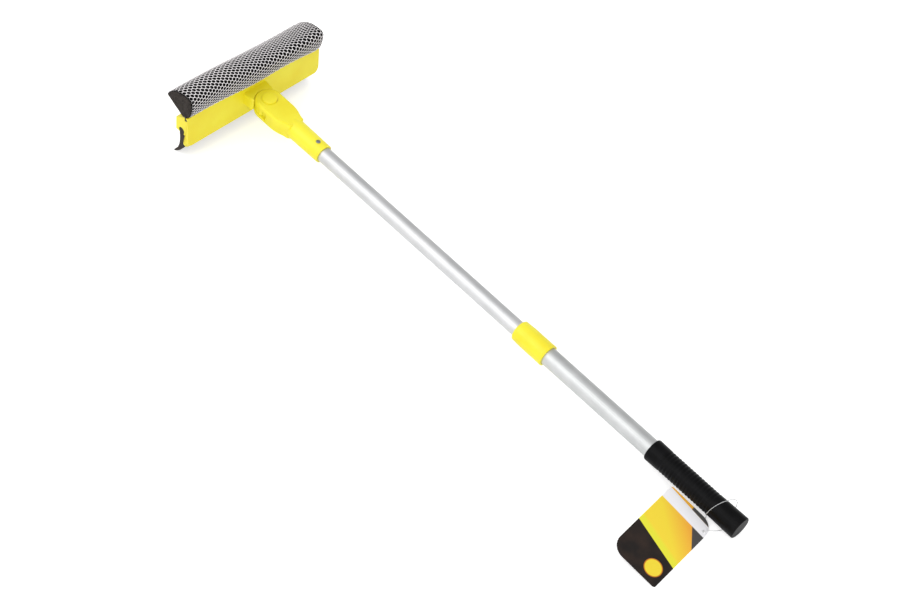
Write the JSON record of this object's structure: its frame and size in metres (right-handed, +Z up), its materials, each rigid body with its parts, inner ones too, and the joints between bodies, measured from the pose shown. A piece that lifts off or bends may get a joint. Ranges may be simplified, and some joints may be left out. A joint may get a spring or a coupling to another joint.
{
  "type": "telescopic window squeegee",
  "caption": "Window squeegee on a telescopic pole, with a netted sponge and a rubber blade on a swivelling head, a twist lock, a ribbed grip and a card hang tag",
  "frame": {"origin": "bottom centre of the part's bounding box, on the floor that the blade's tip and the grip's end lie on", "axes": "+X along the tool from the head to the grip's end, +Y towards the head's far end, away from the hang tag, +Z up from the floor; the pole falls 2.6 degrees towards the grip"},
  "size_m": [0.8104, 0.2252, 0.0968],
  "materials": {
    "yellow_plastic": "moulded polypropylene, bright lemon yellow, semi-gloss",
    "black_foam": "open-cell foam, dark grey",
    "pale_net": "knitted net, pale grey, the foam shows through its holes",
    "dark_rubber": "matt dark grey rubber",
    "black_rubber": "soft black rubber with fine rings, satin",
    "satin_aluminium": "satin anodised tube",
    "zinc_plated_steel": "zinc plated",
    "black_plastic": "moulded, hidden in the sponge's foot",
    "white_plastic": "natural nylon, inside the pole",
    "printed_card": "printed card with plain colour bands",
    "clear_plastic": "thin clear plastic loop"
  },
  "bodies": {
    "outer_pole": {"outer_tube": "satin_aluminium", "collar": "yellow_plastic", "grip": "black_rubber", "tube_plug": "white_plastic"},
    "lock": {"lock_cam": "white_plastic"},
    "inner_pole": {"inner_tube": "satin_aluminium", "handle_socket": "yellow_plastic", "socket_screw": "zinc_plated_steel", "pivot_bolt": "zinc_plated_steel", "pivot_washer": "zinc_plated_steel", "pivot_nut": "zinc_plated_steel", "pivot_cap": "yellow_plastic", "button_spring": "zinc_plated_steel", "lock_spindle": "white_plastic", "spindle_cap": "white_plastic", "spindle_screw": "zinc_plated_steel"},
    "head": {"head_body": "yellow_plastic", "sponge_core": "black_foam", "sponge_net": "pale_net", "sponge_carrier": "black_plastic", "blade_rubber": "dark_rubber"},
    "button": {"release_button": "yellow_plastic"},
    "tag": {"hang_tag": "printed_card", "tag_loop": "clear_plastic"}
  },
  "joints": [
    {"name": "pole_extend", "type": "slide", "parent": "outer_pole", "child": "lock", "axis": [0.999, 0, -0.0452], "range_m": [0, 0.24]},
    {"name": "twist_lock", "type": "hinge", "parent": "lock", "child": "inner_pole", "pos_m": [0.1109, 0.00986, 0.02721], "axis": [0.999, 0, -0.0452], "range_deg": [0, 120]},
    {"name": "head_swivel", "type": "hinge", "parent": "inner_pole", "child": "head", "pos_m": [-0.34064, 0.00986, 0.04765], "axis": [0.0452, 0, 0.999], "range_deg": [-50, 50]},
    {"name": "button_press", "type": "slide", "parent": "inner_pole", "child": "button", "axis": [-0.0452, 0, -0.999], "range_m": [0, 0.003], "stiffness_N_per_m": 800, "springref_m": -0.002, "deforming": ["button_spring"]},
    {"name": "tag_swing", "type": "hinge", "parent": "outer_pole", "child": "tag", "pos_m": [0.38152, 0.00986, 0.01495], "axis": [0.999, 0, -0.0452], "continuous": true}
  ]
}
